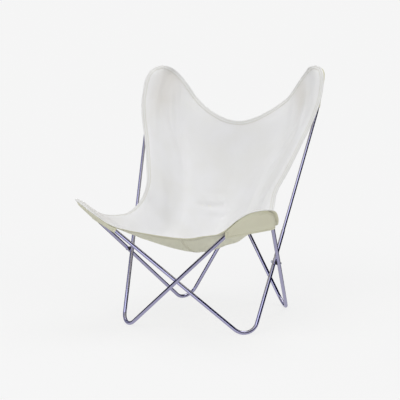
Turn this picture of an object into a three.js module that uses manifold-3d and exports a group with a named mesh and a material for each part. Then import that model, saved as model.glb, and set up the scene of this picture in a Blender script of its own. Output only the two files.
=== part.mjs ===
import * as THREE from 'three';
import { mergeVertices } from 'three/addons/utils/BufferGeometryUtils.js';
import Module from 'manifold-3d';

const wasm = await Module();
wasm.setup();

// Butterfly sling chair: two bent steel loops cross under a canvas sling that hangs from
// four hairpin corners. Millimetres, +Z up, the seat opens towards -Y, +X is on the right
// of someone who looks at the chair from the front.

// Corner places: where the straight runs of tube would meet if they were not bent.
const backHalfWidth = 357.3;
const backReach = 319.5;
const backHeight = 978;
const frontHalfWidth = 357;
const frontReach = 448.8;
const frontHeight = 490.8;
const rearFootHalfWidth = 206;
const footReach = 244.5;

// Tubes, their bends and the push-fit joints of the back hairpins.
const lowerDiameter = 12.7;
const upperDiameter = 10.5;
const footBendRadius = 49.4;
const frontBendRadius = 54.7;
const backBendRadius = 47.4;
const leanBendRadius = 200;
const leanClearance = 8;
const leanForward = 45;
const leanInward = 18;
const socketDepth = 45;
const socketClearance = 0.35;
const sideJointHeight = 326;
const backJointHeight = 400;
const footFlatDepth = 0.5;
const crossingGap = 0.7;
const seatGap = 0.3;

// Through-bolt, cap nut and saddle spacer at each side crossing.
const boltDiameter = 5;
const boltHoleClearance = 0.3;
const boltHeadDiameter = 9.5;
const boltHeadHeight = 2.6;
const nutWidth = 8;
const nutHeight = 3.2;
const nutDomeHeight = 2.2;
const boltEngagement = 2.7;
const spacerDiameter = 15;
const spacerWeb = 2.6;
const saddleDepth = 2.6;

// Canvas: cloth, the pockets' depth along the tube and the reach of the hem past it.
const clothThickness = 2.2;
const backPocketDepth = 165;
const frontPocketDepth = 150;
const backHemReach = 32;
const frontHemReach = 26;
const backHemLift = 32;
const frontHemLift = 30;
const foldHeight = 5;
const foldWidth = 30;
const seatLift = 14;
const seatTilt = 7;
const seatSway = 10.5;
const seatWiden = 3.5;
const tubeClearance = 4;
const frontPocketEase = 0.4;
const leastWrapAngle = THREE.MathUtils.degToRad(12);

// Facets.
const tubeSides = 20;
const turnedSides = 16;
const bendStepAngle = THREE.MathUtils.degToRad(12);
const slingColumns = 18;
const slingRows = 30;
const pocketLegRows = 4;
const wrapSteps = 5;
const backSpanSteps = 4;
const solvePasses = 30;
const overrun = 20;

const lowerRadius = lowerDiameter / 2;
const upperRadius = upperDiameter / 2;
const boltRadius = boltDiameter / 2;
const nutCornerRadius = nutWidth / Math.sqrt(3);
const sideSpacing = lowerDiameter + spacerWeb + 2 * seatGap;

// Edge of the sling beside each hairpin, from its apex: shares of the pocket's depth along
// the tube, of the hem's reach outside it and of the hem's lift in front of it.
const backOuterEdgeShares = [
  [0, 0.28, 0.62], [0.14, 0.36, 0.34], [0.3, 0.58, 0.3], [0.48, 0.86, 0.25],
  [0.73, 0.97, 0.25], [0.97, 1.05, 0.38], [1.4, 0.94, 0.81], [1.92, 0.73, 1.67],
  [2.55, 0.74, 2.87], [3.11, 0.97, 4.03],
];
const backInnerEdgeShares = [
  [0.13, 0.1, 1], [0.33, 0.34, 0.88], [0.59, 0.73, 0.97], [0.91, 0.92, 1.16],
  [1.06, 0.95, 1.4], [1.32, 0.91, 2.28], [1.72, 1.31, 3.86],
];
const frontOuterEdgeShares = [
  [1.9, 1.3, 5.13], [1.7, 0.36, 3.15], [1.52, 0.19, 2.26], [1.33, 0.46, 1.42],
  [1.14, 0.8, 0.85], [0.86, 0.95, 0.57], [0.6, 0.92, 0.41], [0.38, 0.76, 0.24],
  [0.19, 0.7, -0.03],
];
const frontInnerEdgeShares = [
  [0, 0.76, -0.14], [0.19, 0.93, -0.18], [0.39, 1, -0.2], [0.61, 1.02, -0.13],
  [0.84, 0.96, 0.01], [1.05, 0.85, 0.33], [1.23, 1, 0.76], [1.38, 1.33, 1.13],
];
// Centre seam, front to back: shares of the back corner's reach and the front corner's height.
const seamShares = [
  [-0.87, 0.642], [-0.72, 0.565], [-0.523, 0.51], [-0.28, 0.492], [-0.06, 0.502],
  [0.16, 0.562], [0.376, 0.696], [0.58, 0.886], [0.73, 1.1], [0.805, 1.3], [0.825, 1.37],
];
// The taut cloth between the front pockets and the seat: where it is highest above the
// plain blend of the edges, and how far that reaches, from seam to edge and front to back.
const seatLiftShares = { place: [0.5, 0.16], spread: [0.42, 0.12] };
// The waist of the sling, where it sits off to one side: from the front to the back.
const swayShares = { place: 0.47, spread: 0.19 };
// The front pocket's run along the outer leg, as a share of its run along the inner one.
const frontOuterLegShare = 0.8;
// How far a pocket's mouth follows the hem, as a share of its depth along the tube.
const backMouthShare = 0.97;
const frontMouthShare = 0.84;
// How far the cloth comes down from over the tube to the hem, as a share of its height there.
const hemSlopeShare = 1.3;
// Soft folds, each from one place to another on a half: shares of the way from the seam to
// the edge and from the front to the back, then its width and height as shares.
const foldShares = [
  { from: [0.97, 0.93], to: [0.45, 0.6], width: 1, height: 1 },
  { from: [0.8, 0.97], to: [0.3, 0.72], width: 1, height: -0.8 },
  { from: [0.86, 0.12], to: [0.35, 0.2], width: 1, height: 0.7 },
];

const point = (x, y, z) => new THREE.Vector3(x, y, z);
const along = (from, to, distance) =>
  from.clone().addScaledVector(to.clone().sub(from).normalize(), distance);
const unit = (from, to) => to.clone().sub(from).normalize();
const atHeight = (from, to, z) => from.clone().lerp(to, (z - from.z) / (to.z - from.z));

// Solids.

function closed(geometry) {
  const bare = geometry.clone();
  bare.deleteAttribute('uv');
  bare.deleteAttribute('normal');
  const merged = mergeVertices(bare);
  const kept = [];
  const index = merged.index.array;
  for (let i = 0; i < index.length; i += 3) {
    const [a, b, c] = [index[i], index[i + 1], index[i + 2]];
    if (a !== b && b !== c && c !== a) kept.push(a, b, c);
  }
  merged.setIndex(kept);
  return merged;
}

function toSolid(geometry) {
  const merged = closed(geometry);
  return new wasm.Manifold(new wasm.Mesh({
    numProp: 3,
    vertProperties: new Float32Array(merged.attributes.position.array),
    triVerts: new Uint32Array(merged.index.array),
  }));
}

function toGeometry(solid) {
  const mesh = solid.getMesh();
  const geometry = new THREE.BufferGeometry();
  geometry.setAttribute('position', new THREE.BufferAttribute(mesh.vertProperties, 3));
  geometry.setIndex(new THREE.BufferAttribute(mesh.triVerts, 1));
  geometry.computeVertexNormals();
  return geometry;
}

function fromTriangles(places, triangles) {
  const geometry = new THREE.BufferGeometry();
  const flat = places.flatMap((place) => [place.x, place.y, place.z]);
  geometry.setAttribute('position', new THREE.Float32BufferAttribute(flat, 3));
  geometry.setIndex(triangles);
  return geometry;
}

// A round bar with one ring per place of its path, turned with the path without twist.
function sweptBar(path, radius) {
  const places = [];
  const triangles = [];
  const last = path.length - 1;
  let heading = unit(path[0], path[1]);
  const across = Math.abs(heading.x) < Math.abs(heading.y) ? point(1, 0, 0) : point(0, 1, 0);
  const side = across.cross(heading).normalize();
  path.forEach((centre, ring) => {
    const before = path[Math.max(ring - 1, 0)];
    const after = path[Math.min(ring + 1, last)];
    const next = unit(before, centre).add(unit(centre, after));
    next.normalize();
    side.applyQuaternion(new THREE.Quaternion().setFromUnitVectors(heading, next));
    heading = next;
    const up = heading.clone().cross(side);
    for (let s = 0; s < tubeSides; s += 1) {
      const angle = (2 * Math.PI * s) / tubeSides;
      places.push(centre.clone()
        .addScaledVector(side, radius * Math.cos(angle))
        .addScaledVector(up, radius * Math.sin(angle)));
    }
  });
  for (let ring = 0; ring < last; ring += 1) {
    for (let s = 0; s < tubeSides; s += 1) {
      const [a, b] = [ring * tubeSides + s, ring * tubeSides + ((s + 1) % tubeSides)];
      triangles.push(a, b, b + tubeSides, a, b + tubeSides, a + tubeSides);
    }
  }
  const end = last * tubeSides;
  for (let s = 1; s < tubeSides - 1; s += 1) {
    triangles.push(0, s + 1, s, end, end + s, end + s + 1);
  }
  return fromTriangles(places, triangles);
}

// Corners rounded to their radii; the first and last corner have none.
function filletedPath(corners) {
  const path = [corners[0].place];
  for (let i = 1; i < corners.length - 1; i += 1) {
    const { place, radius } = corners[i];
    const arrive = unit(corners[i - 1].place, place);
    const leave = unit(place, corners[i + 1].place);
    const turn = arrive.angleTo(leave);
    const centre = place.clone().addScaledVector(
      leave.clone().sub(arrive).normalize(), radius / Math.cos(turn / 2));
    const axis = arrive.clone().cross(leave).normalize();
    const spoke = place.clone().addScaledVector(arrive, -radius * Math.tan(turn / 2)).sub(centre);
    const steps = 2 * Math.ceil(turn / 2 / bendStepAngle);
    for (let step = 0; step <= steps; step += 1) {
      path.push(spoke.clone().applyAxisAngle(axis, (turn * step) / steps).add(centre));
    }
  }
  path.push(corners[corners.length - 1].place);
  return path;
}

// Frame.

// Height of a foot's corner that lets the lowest side of its bend sink to the floor flat.
function footCorner(x, y, tipA, tipB) {
  const foot = point(x, y, 0);
  for (let pass = 0; pass < solvePasses; pass += 1) {
    const [a, b] = [unit(foot, tipA), unit(foot, tipB)];
    const half = a.angleTo(b) / 2;
    const middle = a.clone().add(b).normalize();
    const tilt = a.clone().cross(b).normalize().z;
    const lowest = foot.z + (middle.z * footBendRadius) / Math.sin(half)
      - footBendRadius * Math.sqrt(1 - tilt * tilt);
    foot.z += lowerRadius - footFlatDepth - lowest;
  }
  return foot;
}

// One loop: hand 1 has its back tip and front foot on +X, hand -1 on -X.
function loopCorners(hand, shift, frontFootHalfWidth) {
  const frontTip = point(-hand * frontHalfWidth, -frontReach + hand * shift, frontHeight);
  const backTip = point(hand * backHalfWidth, backReach + hand * shift, backHeight);
  const frontFoot = footCorner(
    hand * frontFootHalfWidth, -footReach + hand * shift, frontTip, backTip);
  const rearFoot = footCorner(
    -hand * rearFootHalfWidth, footReach + hand * shift, backTip, frontTip);
  return { hand, frontTip, backTip, frontFoot, rearFoot };
}

// Nearest places of two straight runs, and the direction from the first to the second.
function crossing(fromA, toA, fromB, toB) {
  const [a, b] = [unit(fromA, toA), unit(fromB, toB)];
  const gap = fromB.clone().sub(fromA);
  const dot = a.dot(b);
  const scale = 1 - dot * dot;
  const onA = fromA.clone().addScaledVector(a, (gap.dot(a) - gap.dot(b) * dot) / scale);
  const onB = fromB.clone().addScaledVector(b, (gap.dot(a) * dot - gap.dot(b)) / scale);
  return { onA, onB, axis: unit(onA, onB), distance: onA.distanceTo(onB), a, b };
}

// The loops stand apart in depth so that their tubes pass at the front and back crossings,
// and the front feet stand where the side runs leave room for the spacer between them.
let loopShift = lowerDiameter / 2;
const frontFootHalfWidths = [rearFootHalfWidth, rearFootHalfWidth];
let loops = [];
const loopOf = (hand) => (hand > 0 ? loops[0] : loops[1]);
const sideCrossing = (hand) => {
  const [loop, other] = [loopOf(hand), loopOf(-hand)];
  return crossing(loop.frontFoot, loop.backTip, other.rearFoot, other.frontTip);
};
for (let pass = 0; pass <= solvePasses; pass += 1) {
  loops = [1, -1].map((hand, i) => loopCorners(hand, loopShift, frontFootHalfWidths[i]));
  loops.forEach(({ hand }, i) => {
    const side = sideCrossing(hand);
    frontFootHalfWidths[i] += hand * side.distance * Math.sign(side.axis.x) - sideSpacing;
  });
  const [one, other] = loops;
  const front = crossing(one.frontTip, one.frontFoot, other.frontTip, other.frontFoot);
  loopShift *= (lowerDiameter + crossingGap) / front.distance;
}

// Joints, side crossings and the leaning tip of one loop.
function loopPlaces(loop) {
  const { backTip, frontFoot, rearFoot } = loop;
  const straight = hairpin(backTip, frontFoot, rearFoot, backBendRadius, upperRadius);
  const [outerMouth, innerMouth] = [1, -1].map(
    (sign) => straight.station(sign * backPocketDepth).place);
  const leanRun = (leanBendRadius * Math.hypot(leanForward, leanInward))
    / (2 * backTip.distanceTo(outerMouth)) + leanClearance;
  const leanOuter = along(outerMouth, frontFoot, leanRun);
  const leanInner = along(innerMouth, rearFoot, leanRun);
  return {
    ...loop,
    leanOuter,
    leanInner,
    leanTip: loop.backTip.clone().add(point(-loop.hand * leanInward, -leanForward, 0)),
    sideJoint: atHeight(loop.backTip, loop.frontFoot, sideJointHeight),
    backJoint: atHeight(loop.backTip, loop.rearFoot, backJointHeight),
    ownSide: sideCrossing(loop.hand),
    farSide: sideCrossing(-loop.hand),
  };
}

const boreBar = (mouth, corner, depth, radius) =>
  sweptBar([along(mouth, corner, -overrun), along(mouth, corner, depth)], radius);

function lowerFrame(loop) {
  const path = filletedPath([
    { place: loop.backJoint },
    { place: loop.rearFoot, radius: footBendRadius },
    { place: loop.frontTip, radius: frontBendRadius },
    { place: loop.frontFoot, radius: footBendRadius },
    { place: loop.sideJoint },
  ]);
  const socketRadius = upperRadius + socketClearance;
  const holeRadius = boltRadius + boltHoleClearance;
  const span = 2 * (backHalfWidth + frontReach + backReach);
  const floor = new THREE.BoxGeometry(span, span, overrun);
  floor.translate(0, 0, -overrun / 2);
  const boltHole = (side, place) => sweptBar([
    place.clone().addScaledVector(side.axis, -lowerDiameter),
    place.clone().addScaledVector(side.axis, lowerDiameter),
  ], holeRadius);
  const cuts = [
    boreBar(loop.backJoint, loop.rearFoot, socketDepth, socketRadius),
    boreBar(loop.sideJoint, loop.frontFoot, socketDepth, socketRadius),
    boltHole(loop.ownSide, loop.ownSide.onA),
    boltHole(loop.farSide, loop.farSide.onB),
    floor,
  ];
  let solid = toSolid(sweptBar(path, lowerRadius));
  cuts.forEach((cut) => { solid = solid.subtract(toSolid(cut)); });
  return toGeometry(solid);
}

function backHairpin(loop) {
  const depth = socketDepth - seatGap;
  return sweptBar(filletedPath([
    { place: along(loop.sideJoint, loop.frontFoot, depth) },
    { place: loop.leanOuter, radius: leanBendRadius },
    { place: loop.leanTip, radius: backBendRadius },
    { place: loop.leanInner, radius: leanBendRadius },
    { place: along(loop.backJoint, loop.rearFoot, depth) },
  ]), upperRadius);
}

// Fixings at a side crossing, modelled along +Y from the inner run's axis

const headSeat = sideSpacing + lowerRadius + seatGap;
const nutSeat = -lowerRadius - seatGap;

function turned(profile, sides) {
  return new THREE.LatheGeometry(profile.map(([r, y]) => new THREE.Vector2(r, y)), sides);
}

function domeProfile(radius, base, height) {
  const steps = wrapSteps;
  return Array.from({ length: steps + 1 }, (_, i) => {
    const angle = (Math.PI / 2) * (i / steps);
    return [i === steps ? 0 : radius * Math.cos(angle), base + height * Math.sin(angle)];
  });
}

function sideBolt() {
  const tip = nutSeat - boltEngagement;
  return closed(turned([
    [0, tip], [boltRadius, tip], [boltRadius, headSeat],
    ...domeProfile(boltHeadDiameter / 2, headSeat, boltHeadHeight),
  ], turnedSides));
}

function sideNut() {
  const body = new THREE.CylinderGeometry(nutCornerRadius, nutCornerRadius, nutHeight, 6);
  body.translate(0, nutSeat - nutHeight / 2, 0);
  const dome = turned([
    [0, 0], ...domeProfile(nutWidth / 2, 0, nutDomeHeight + seatGap),
  ], turnedSides);
  dome.rotateX(Math.PI);
  dome.translate(0, nutSeat - nutHeight + seatGap, 0);
  const boreDepth = boltEngagement + seatGap;
  const boreRadius = boltRadius + boltHoleClearance;
  const bore = new THREE.CylinderGeometry(
    boreRadius, boreRadius, boreDepth + overrun, turnedSides);
  bore.translate(0, nutSeat - boreDepth + (boreDepth + overrun) / 2, 0);
  return toGeometry(toSolid(body).add(toSolid(dome)).subtract(toSolid(bore)));
}

// The saddle spacer is cut by both tubes and by the bolt, in the chair's own frame.
function sideSpacer(side) {
  const length = spacerWeb + 2 * saddleDepth;
  const middle = side.onA.clone().lerp(side.onB, 1 / 2);
  const blank = sweptBar([
    middle.clone().addScaledVector(side.axis, -length / 2),
    middle.clone().addScaledVector(side.axis, length / 2),
  ], spacerDiameter / 2);
  const throughBar = (centre, direction, radius) => sweptBar([
    centre.clone().addScaledVector(direction, -spacerDiameter),
    centre.clone().addScaledVector(direction, spacerDiameter),
  ], radius);
  let solid = toSolid(blank);
  [
    throughBar(side.onA, side.a, lowerRadius + seatGap),
    throughBar(side.onB, side.b, lowerRadius + seatGap),
    throughBar(middle, side.axis, boltRadius + boltHoleClearance),
  ].forEach((cut) => { solid = solid.subtract(toSolid(cut)); });
  return toGeometry(solid);
}

// Sling.

// A hairpin as its pocket sees it: a half circle and two spreading legs in one plane.
// "travel" runs along the tube from the apex, positive on the leg at the chair's side.
function hairpin(tip, outerEnd, innerEnd, bendRadius, tubeRadius) {
  const [outer, inner] = [unit(tip, outerEnd), unit(tip, innerEnd)];
  const up = outer.clone().add(inner).normalize().negate();
  const across = outer.clone().sub(inner).normalize();
  const spread = outer.angleTo(inner) / 2;
  const centre = tip.clone().addScaledVector(up, -bendRadius / Math.sin(spread));
  const front = up.clone().cross(across);
  if (front.dot(point(0, 0, frontHeight).sub(centre)) < 0) front.negate();
  const arcAngle = Math.PI / 2 - spread;
  const arcLength = bendRadius * arcAngle;
  const station = (travel) => {
    const sign = travel < 0 ? -1 : 1;
    const angle = sign * Math.min(Math.abs(travel) / bendRadius, arcAngle);
    const away = up.clone().multiplyScalar(Math.cos(angle))
      .addScaledVector(across, Math.sin(angle));
    const leg = Math.max(Math.abs(travel) - arcLength, 0);
    const down = sign > 0 ? outer : inner;
    const place = centre.clone().addScaledVector(away, bendRadius).addScaledVector(down, leg);
    return { place, away };
  };
  const hem = (travel, reach, lift) => {
    const { place, away } = station(travel);
    return place.addScaledVector(away, reach).addScaledVector(front, lift);
  };
  const travelOf = (place) => {
    const offset = place.clone().sub(centre);
    const [a, b] = [offset.dot(up), offset.dot(across)];
    const sign = b < 0 ? -1 : 1;
    const angle = Math.atan2(Math.abs(b), a);
    if (angle <= arcAngle) return sign * bendRadius * angle;
    const leg = (Math.abs(b) - bendRadius * Math.sin(arcAngle)) * Math.sin(spread)
      - (a - bendRadius * Math.cos(arcAngle)) * Math.cos(spread);
    return sign * (arcLength + leg);
  };
  return { front, station, hem, travelOf, tubeRadius, arcAngle, arcLength };
}

// Steps of the grid, closer together at the hairpins.
const columnShare = (share) => 1 - (1 - share) ** 1.4;
const rowShare = (share) => share - (0.55 * Math.sin(2 * Math.PI * share)) / (2 * Math.PI);

// A smooth line through places, re-sampled at given shares; it stops at the place "stop".
function edgeLine(places, stop, samples, shareOf) {
  const curve = new THREE.CatmullRomCurve3(places, false, 'centripetal');
  const fine = [];
  const perSpan = 16;
  for (let i = 0; i <= stop * perSpan; i += 1) {
    fine.push(curve.getPoint(i / (perSpan * (places.length - 1))));
  }
  const reach = [0];
  for (let i = 1; i < fine.length; i += 1) {
    reach.push(reach[i - 1] + fine[i].distanceTo(fine[i - 1]));
  }
  const total = reach[reach.length - 1];
  return Array.from({ length: samples + 1 }, (_, k) => {
    const want = total * shareOf(k / samples);
    let i = 1;
    while (i < reach.length - 1 && reach[i] < want) i += 1;
    return fine[i - 1].clone().lerp(fine[i], (want - reach[i - 1]) / (reach[i] - reach[i - 1]));
  });
}

function slingHalf(side) {
  const backLoop = loopPlaces(loopOf(side));
  const frontLoop = loopPlaces(loopOf(-side));
  const backPin = hairpin(
    backLoop.leanTip, backLoop.leanOuter, backLoop.leanInner, backBendRadius, upperRadius);
  const frontPin = hairpin(
    frontLoop.frontTip, frontLoop.rearFoot, frontLoop.frontFoot, frontBendRadius, lowerRadius);
  const backHem = (sign) => ([travel, reach, lift]) => backPin.hem(
    sign * travel * backPocketDepth, reach * backHemReach, lift * backHemLift);
  const frontHem = (sign) => ([travel, reach, lift]) => frontPin.hem(
    sign * travel * frontPocketDepth, reach * frontHemReach, lift * frontHemLift);
  const seamX = (side * seatGap) / 2;
  const seam = seamShares.map(([y, z]) => point(seamX, y * backReach, z * frontHeight));
  const mirrored = (place) => point(2 * seamX - place.x, place.y, place.z);

  const outer = [
    ...frontOuterEdgeShares.map(frontHem(1)).reverse(),
    ...backOuterEdgeShares.map(backHem(1)).reverse(),
  ];
  const frontTipPlace = frontHem(-1)(frontInnerEdgeShares[0]);
  const backTipPlace = backHem(1)(backOuterEdgeShares[0]);
  outer.unshift(frontTipPlace);
  const frontInner = frontInnerEdgeShares.slice(1).map(frontHem(-1)).reverse();
  const backInner = backInnerEdgeShares.map(backHem(-1)).reverse();
  const fromSeam = (start, rest, end) => {
    const list = [start, ...rest, end];
    return [mirrored(rest[0]), ...list];
  };
  const halfLine = (start, rest, end, samples) => {
    const places = fromSeam(start, rest, end).reverse();
    const fromTip = (share) => 1 - columnShare(1 - share);
    return edgeLine(places, places.length - 2, samples, fromTip).reverse();
  };
  const lineSide = edgeLine(outer, outer.length - 1, slingRows, rowShare);
  const lineSeam = edgeLine(seam, seam.length - 1, slingRows, rowShare);
  const lineFront = halfLine(seam[0], frontInner, frontTipPlace, slingColumns);
  const lineBack = halfLine(seam[seam.length - 1], backInner, backTipPlace, slingColumns);

  // The surface blends its four edge lines.
  const grid = [];
  const cornerA = lineSeam[0];
  const cornerB = lineSeam[slingRows];
  const cornerC = lineSide[0];
  const cornerD = lineSide[slingRows];
  for (let row = 0; row <= slingRows; row += 1) {
    const v = rowShare(row / slingRows);
    for (let column = 0; column <= slingColumns; column += 1) {
      const u = columnShare(column / slingColumns);
      grid.push(point(0, 0, 0)
        .addScaledVector(lineSeam[row], 1 - u)
        .addScaledVector(lineSide[row], u)
        .addScaledVector(lineFront[column], 1 - v)
        .addScaledVector(lineBack[column], v)
        .addScaledVector(cornerA, -(1 - u) * (1 - v))
        .addScaledVector(cornerB, -(1 - u) * v)
        .addScaledVector(cornerC, -u * (1 - v))
        .addScaledVector(cornerD, -u * v));
    }
  }
  swayWaist(grid, side);
  addFolds(grid, side);
  liftOver(grid, frontPin, frontPocketDepth, frontHemReach);
  const wide = slingColumns + 1;
  const edgeOf = (count, indexOf, inward) => Array.from({ length: count + 1 }, (_, i) => (
    { place: grid[indexOf(i)], inner: grid[indexOf(i) + inward] }));
  return {
    side,
    backPin,
    frontPin,
    grid,
    sideEdge: edgeOf(slingRows, (row) => row * wide + slingColumns, -1),
    frontEdge: edgeOf(slingColumns, (column) => column, wide),
    backEdge: edgeOf(slingColumns, (column) => slingRows * wide + column, -wide),
  };
}

function swayWaist(grid, side) {
  const wide = slingColumns + 1;
  grid.forEach((place, i) => {
    const u = columnShare((i % wide) / slingColumns);
    const v = rowShare(Math.floor(i / wide) / slingRows);
    const apart = (v - swayShares.place) / swayShares.spread;
    place.setX(place.x + (seatSway + side * seatWiden) * u * Math.exp(-(apart ** 2)));
  });
}

// Each fold swells along its own line and fades at both ends and at the edges.
function addFolds(grid, side) {
  const wide = slingColumns + 1;
  const at = (row, column) => grid[
    Math.min(Math.max(row, 0), slingRows) * wide + Math.min(Math.max(column, 0), slingColumns)];
  const moves = grid.map((place, i) => {
    const [row, column] = [Math.floor(i / wide), i % wide];
    const u = columnShare(column / slingColumns);
    const v = rowShare(row / slingRows);
    const normal = at(row, column + 1).clone().sub(at(row, column - 1))
      .cross(at(row + 1, column).clone().sub(at(row - 1, column))).normalize();
    if (normal.z - normal.y < 0) normal.negate();
    let height = (seatLift + side * seatTilt) * Math.exp(
      -(((u - seatLiftShares.place[0]) / seatLiftShares.spread[0]) ** 2)
      - ((v - seatLiftShares.place[1]) / seatLiftShares.spread[1]) ** 2);
    foldShares.forEach((fold) => {
      const run = [fold.to[0] - fold.from[0], fold.to[1] - fold.from[1]];
      const offset = [u - fold.from[0], v - fold.from[1]];
      const share = (offset[0] * run[0] + offset[1] * run[1]) / (run[0] ** 2 + run[1] ** 2);
      const s = Math.min(Math.max(share, 0), 1);
      const apart = Math.hypot(
        (offset[0] - s * run[0]) * frontHalfWidth, (offset[1] - s * run[1]) * backHeight);
      height += foldHeight * fold.height * Math.sin(Math.PI * s)
        * Math.exp(-((apart / (foldWidth * fold.width)) ** 2));
    });
    const fade = Math.min(1, 4 * u, 6 * (1 - u), 8 * v, 8 * (1 - v));
    return normal.multiplyScalar(height * Math.max(fade, 0));
  });
  grid.forEach((place, i) => place.add(moves[i]));
}

// Where the blend would lay the cloth through a hairpin, it goes straight from the hem up
// over the tube and on between the legs.
function liftOver(grid, pin, depth, hemReach) {
  const crest = pin.tubeRadius + seatGap + clothThickness / 2 + tubeClearance;
  const wide = slingColumns + 1;
  grid.forEach((place, i) => {
    const [row, column] = [Math.floor(i / wide), i % wide];
    if (row === 0 || column === slingColumns) return;
    const travel = pin.travelOf(place);
    const { place: onTube, away } = pin.station(travel);
    const offset = place.clone().sub(onTube);
    const [reach, lift] = [offset.dot(away), offset.dot(pin.front)];
    if (Math.abs(travel) > depth || reach > hemReach) return;
    const wanted = crest * (1 - (hemSlopeShare * Math.max(reach, 0)) / hemReach);
    if (lift < wanted) place.addScaledVector(pin.front, wanted - lift);
  });
}

// Triangles of a grid of places, without those that have shrunk to a line.
function gridTriangles(rows, columns) {
  const triangles = [];
  const wide = columns + 1;
  for (let row = 0; row < rows; row += 1) {
    for (let column = 0; column < columns; column += 1) {
      const a = row * wide + column;
      triangles.push(a, a + 1, a + wide + 1, a, a + wide + 1, a + wide);
    }
  }
  return triangles;
}

// A closed sheet of even thickness about a surface of triangles; its edge at the seam is
// cut square to the middle plane of the chair.
function thickSheet(places, triangles, thickness) {
  const surface = closed(fromTriangles(places, triangles));
  surface.computeVertexNormals();
  const count = surface.attributes.position.count;
  const index = Array.from(surface.index.array);
  const faces = [];
  [1, -1].forEach((face) => {
    for (let i = 0; i < count; i += 1) {
      const normal = new THREE.Vector3().fromBufferAttribute(surface.attributes.normal, i);
      const place = new THREE.Vector3().fromBufferAttribute(surface.attributes.position, i);
      if (Math.abs(place.x) < seatGap) normal.setX(0).normalize();
      faces.push(place.addScaledVector(normal, (face * thickness) / 2));
    }
  });
  const all = [];
  const open = new Map();
  for (let i = 0; i < index.length; i += 3) {
    const corners = [index[i], index[i + 1], index[i + 2]];
    all.push(...corners, corners[2] + count, corners[1] + count, corners[0] + count);
    corners.forEach((a, k) => {
      const b = corners[(k + 1) % 3];
      if (!open.delete(`${b},${a}`)) open.set(`${a},${b}`, [a, b]);
    });
  }
  open.forEach(([a, b]) => {
    all.push(a + count, b + count, b, a + count, b, a);
  });
  return fromTriangles(faces, all);
}

// Hem places by travel along a hairpin, read off the sling's own edge lines.
function hemTable(pin, line) {
  const rows = line.map((row) => ({ travel: Math.abs(pin.travelOf(row.place)), ...row }));
  rows.sort((a, b) => a.travel - b.travel);
  return (travel) => {
    let i = 1;
    while (i < rows.length - 1 && rows[i].travel < travel) i += 1;
    const [last, next] = [rows[i - 1], rows[i]];
    const share = (travel - last.travel) / (next.travel - last.travel);
    const edge = last.place.clone().lerp(next.place, share);
    const inward = last.inner.clone().lerp(next.inner, share).sub(edge);
    const normal = next.place.clone().sub(last.place).cross(inward).normalize();
    if (normal.dot(pin.front) < 0) normal.negate();
    return { edge, normal };
  };
}

// A pocket goes from the hem on one leg behind both legs to the hem on the other.
function pocket(pin, outerLine, innerLine, { depth, mouthShare, ease, outerLegShare }) {
  const hems = [hemTable(pin, innerLine), hemTable(pin, outerLine)];
  const wrapRadius = (pin.tubeRadius + seatGap + clothThickness / 2)
    / Math.cos(Math.PI / (3 * wrapSteps));
  const drop = clothThickness + seatGap + ease;
  const arcRows = Math.ceil(pin.arcAngle / bendStepAngle);
  const travels = [];
  for (let row = 0; row < pocketLegRows; row += 1) {
    travels.push(depth + ((pin.arcLength - depth) * row) / pocketLegRows);
  }
  for (let row = arcRows; row >= 0; row -= 1) travels.push((pin.arcLength * row) / arcRows);
  const places = [];
  travels.forEach((travel) => {
    const runs = hems.map((hem, which) => {
      const leg = Math.max(travel - pin.arcLength, 0);
      const legTravel = travel - (which ? (1 - outerLegShare) * leg : 0);
      const { place, away } = pin.station((which ? 1 : -1) * legTravel);
      const { edge, normal } = hem(legTravel * mouthShare);
      edge.addScaledVector(normal, -drop);
      const offset = edge.clone().sub(place);
      const [d, c] = [offset.dot(away), offset.dot(pin.front)];
      const full = Math.hypot(d, c);
      const last = Math.atan2(c, d) - Math.acos(Math.min(wrapRadius / full, 1));
      const first = -Math.PI / 2;
      const run = [];
      for (let step = 0; step <= wrapSteps; step += 1) {
        const angle = first + (Math.max(last - first, leastWrapAngle) * step) / wrapSteps;
        run.push(place.clone()
          .addScaledVector(away, wrapRadius * Math.cos(angle))
          .addScaledVector(pin.front, wrapRadius * Math.sin(angle)));
      }
      run.push(run[wrapSteps].clone().lerp(edge, 1 / 2), edge);
      return run;
    });
    const span = [];
    for (let step = 1; step < backSpanSteps; step += 1) {
      span.push(runs[0][0].clone().lerp(runs[1][0], step / backSpanSteps));
    }
    places.push(...runs[0].reverse(), ...span, ...runs[1]);
  });
  const columns = 2 * (wrapSteps + 3) + backSpanSteps - 2;
  return { places, rows: travels.length - 1, columns };
}

// Assembly.

const chrome = { color: 0xb9b9cc, roughness: 0.15, metalness: 1 };
const steel = { color: 0xc8c8cc, roughness: 0.3, metalness: 1 };
const black = { color: 0x141416, roughness: 0.6, metalness: 0 };
const canvas = { color: 0xe1e1dc, roughness: 0.95, metalness: 0 };

const chair = new THREE.Group();
const content = new THREE.Group();
chair.add(content);

function addPiece(name, geometry, look) {
  const mesh = new THREE.Mesh(closed(geometry), new THREE.MeshStandardMaterial(look));
  mesh.geometry.computeVertexNormals();
  mesh.name = name;
  content.add(mesh);
  return mesh;
}

const sideName = (side) => (side > 0 ? 'right' : 'left');

loops.map(loopPlaces).forEach((loop) => {
  addPiece(`lower_frame_${sideName(-loop.hand)}`, lowerFrame(loop), chrome);
  addPiece(`back_hairpin_${sideName(loop.hand)}`, backHairpin(loop), chrome);
  const fixing = sideName(loop.hand);
  const turn = new THREE.Quaternion()
    .setFromUnitVectors(point(0, 1, 0), loop.ownSide.axis);
  [
    addPiece(`side_bolt_${fixing}`, sideBolt(), steel),
    addPiece(`side_nut_${fixing}`, sideNut(), steel),
  ].forEach((piece) => {
    piece.position.copy(loop.ownSide.onA);
    piece.quaternion.copy(turn);
  });
  addPiece(`side_spacer_${fixing}`, sideSpacer(loop.ownSide), black);
});

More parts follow.
